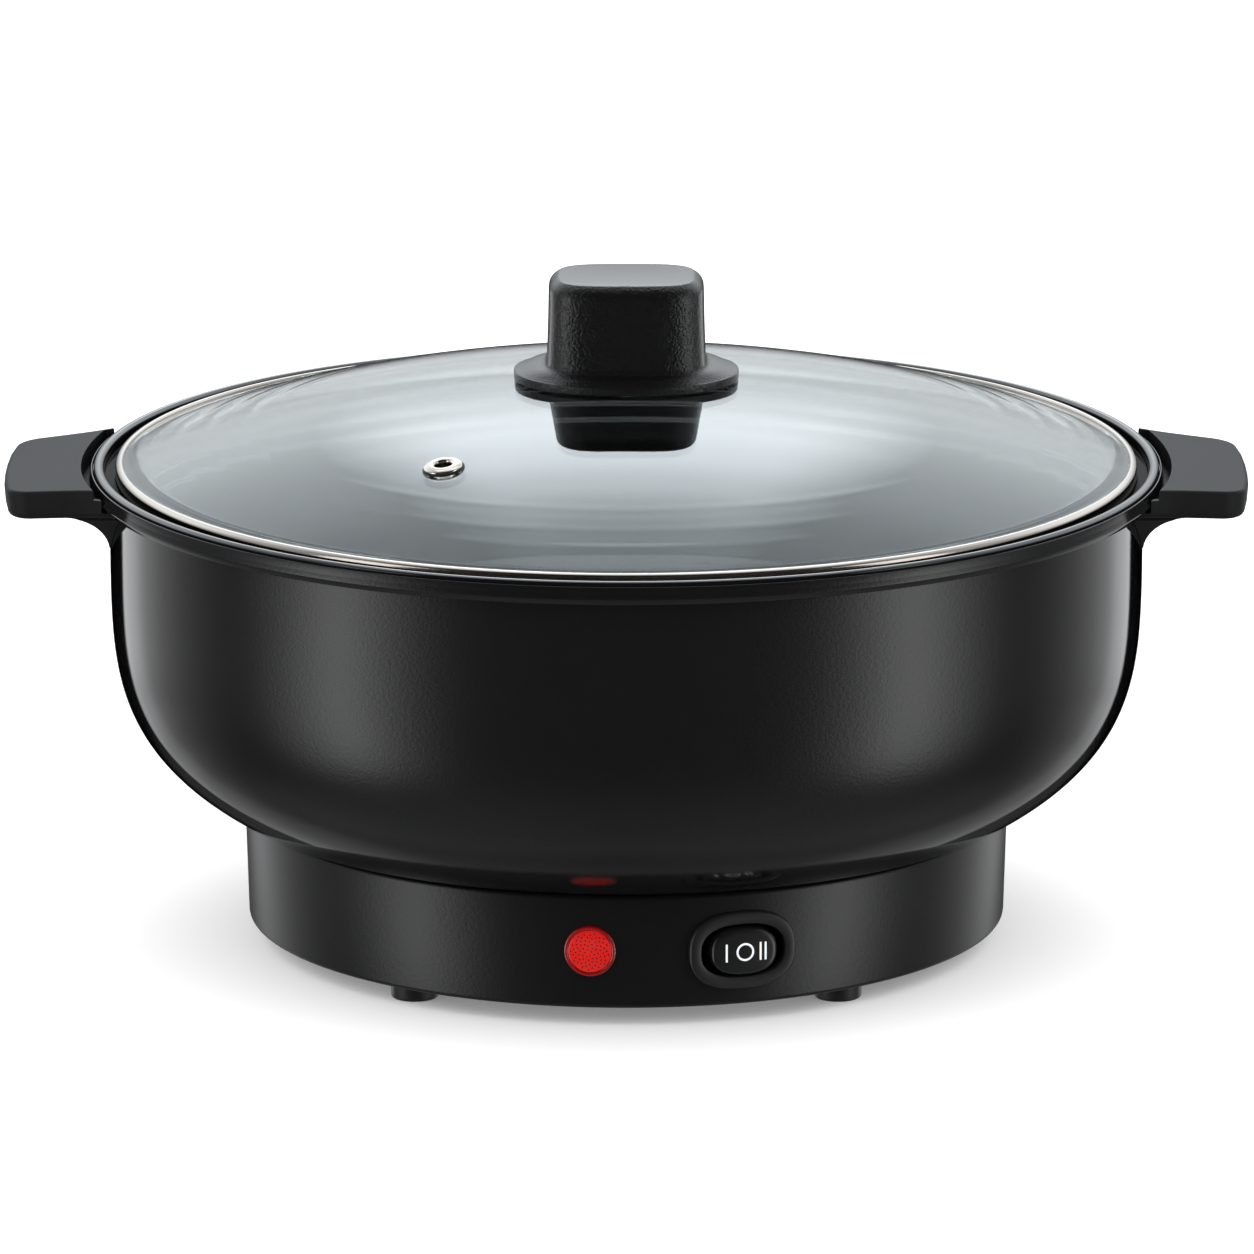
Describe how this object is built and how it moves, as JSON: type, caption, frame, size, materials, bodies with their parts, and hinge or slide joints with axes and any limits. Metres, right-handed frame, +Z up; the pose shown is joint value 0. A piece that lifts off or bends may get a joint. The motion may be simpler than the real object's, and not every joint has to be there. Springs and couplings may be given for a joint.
{
  "type": "electric hot pot with lid",
  "caption": "Round electric hot pot: black housing on a narrower base, lift-out pot, side handles, domed glass lid with knob and steam vent, lamp and heat rocker.",
  "frame": {"origin": "middle of the footprint, on the surface that the feet stand on", "axes": "+Z up, +X to the right through the handles, -Y towards the lamp and the switch"},
  "size_m": [0.3646, 0.3156, 0.1974],
  "materials": {
    "bowl_plastic": "fine grained, satin",
    "base_plastic": "fine grained, satin",
    "handle_plastic": "fine grained, matt",
    "knob_plastic": "leather grain, matt",
    "pot_coating": "glossy non-stick coating on aluminium",
    "lid_glass": "clear toughened glass",
    "ring_steel": "polished stainless steel",
    "seal_rubber": "matt moulded rubber",
    "lens_red": "clear red prismatic lens",
    "bezel_red": "dark red clear rim",
    "switch_plastic": "satin",
    "rocker_plastic": "semi gloss",
    "mark_white": "printed white",
    "cast_aluminium": "turned cast aluminium",
    "element_metal": "heat-dulled steel tube",
    "shield_steel": "aluminised sheet",
    "zinc_steel": "zinc plated",
    "brass": "bright brass",
    "inner_plastic": "glazed white",
    "inner_plastic_dark": "moulded",
    "wire_brown": "silicone sleeve",
    "wire_blue": "silicone sleeve",
    "wire_white": "glass fibre sleeve"
  },
  "bodies": {
    "housing": {"outer_shell": "bowl_plastic", "base_skirt": "base_plastic", "bottom_cover": "base_plastic", "handle_left": "handle_plastic", "handle_right": "handle_plastic", "handle_screws": "zinc_steel", "lamp_lens": "lens_red", "lamp_bezel": "bezel_red", "lamp_body": "inner_plastic", "lamp_clip": "zinc_steel", "switch_bezel": "switch_plastic", "switch_body": "switch_plastic", "switch_terminals": "brass", "heating_plate": "cast_aluminium", "element_high": "element_metal", "element_low": "element_metal", "plate_posts": "zinc_steel", "plate_screws": "zinc_steel", "heat_shield": "shield_steel", "shield_screws": "zinc_steel", "thermostat": "inner_plastic_dark", "thermostat_screws": "zinc_steel", "thermal_fuse": "inner_plastic", "fuse_clip": "zinc_steel", "terminal_block": "inner_plastic", "wire_live": "wire_brown", "wire_neutral": "wire_blue", "wire_heater": "wire_white", "cord_gland": "seal_rubber", "gland_nut": "inner_plastic_dark", "foot_front_left": "seal_rubber", "foot_front_right": "seal_rubber", "foot_rear_left": "seal_rubber", "foot_rear_right": "seal_rubber", "cover_screws": "zinc_steel", "shell_screws": "zinc_steel"},
    "pot": {"inner_pot": "pot_coating"},
    "lid": {"lid_glass": "lid_glass", "lid_ring": "ring_steel", "vent_eyelet": "ring_steel", "vent_washer": "seal_rubber", "knob_grip": "knob_plastic", "knob_seat": "seal_rubber", "knob_insert": "brass", "knob_screw": "zinc_steel", "knob_washer": "seal_rubber"},
    "rocker": {"switch_rocker": "rocker_plastic", "rocker_marks": "mark_white"}
  },
  "joints": [
    {"name": "pot_lift", "type": "slide", "parent": "housing", "child": "pot", "axis": [0, 0, 1], "range_m": [0, 0.12]},
    {"name": "lid_lift", "type": "slide", "parent": "pot", "child": "lid", "axis": [0, 0, 1], "range_m": [0, 0.15]},
    {"name": "rocker_tilt", "type": "hinge", "parent": "housing", "child": "rocker", "pos_m": [0.032, -0.10336, 0.0224], "axis": [0, 0, 1], "range_deg": [-10, 10]}
  ]
}
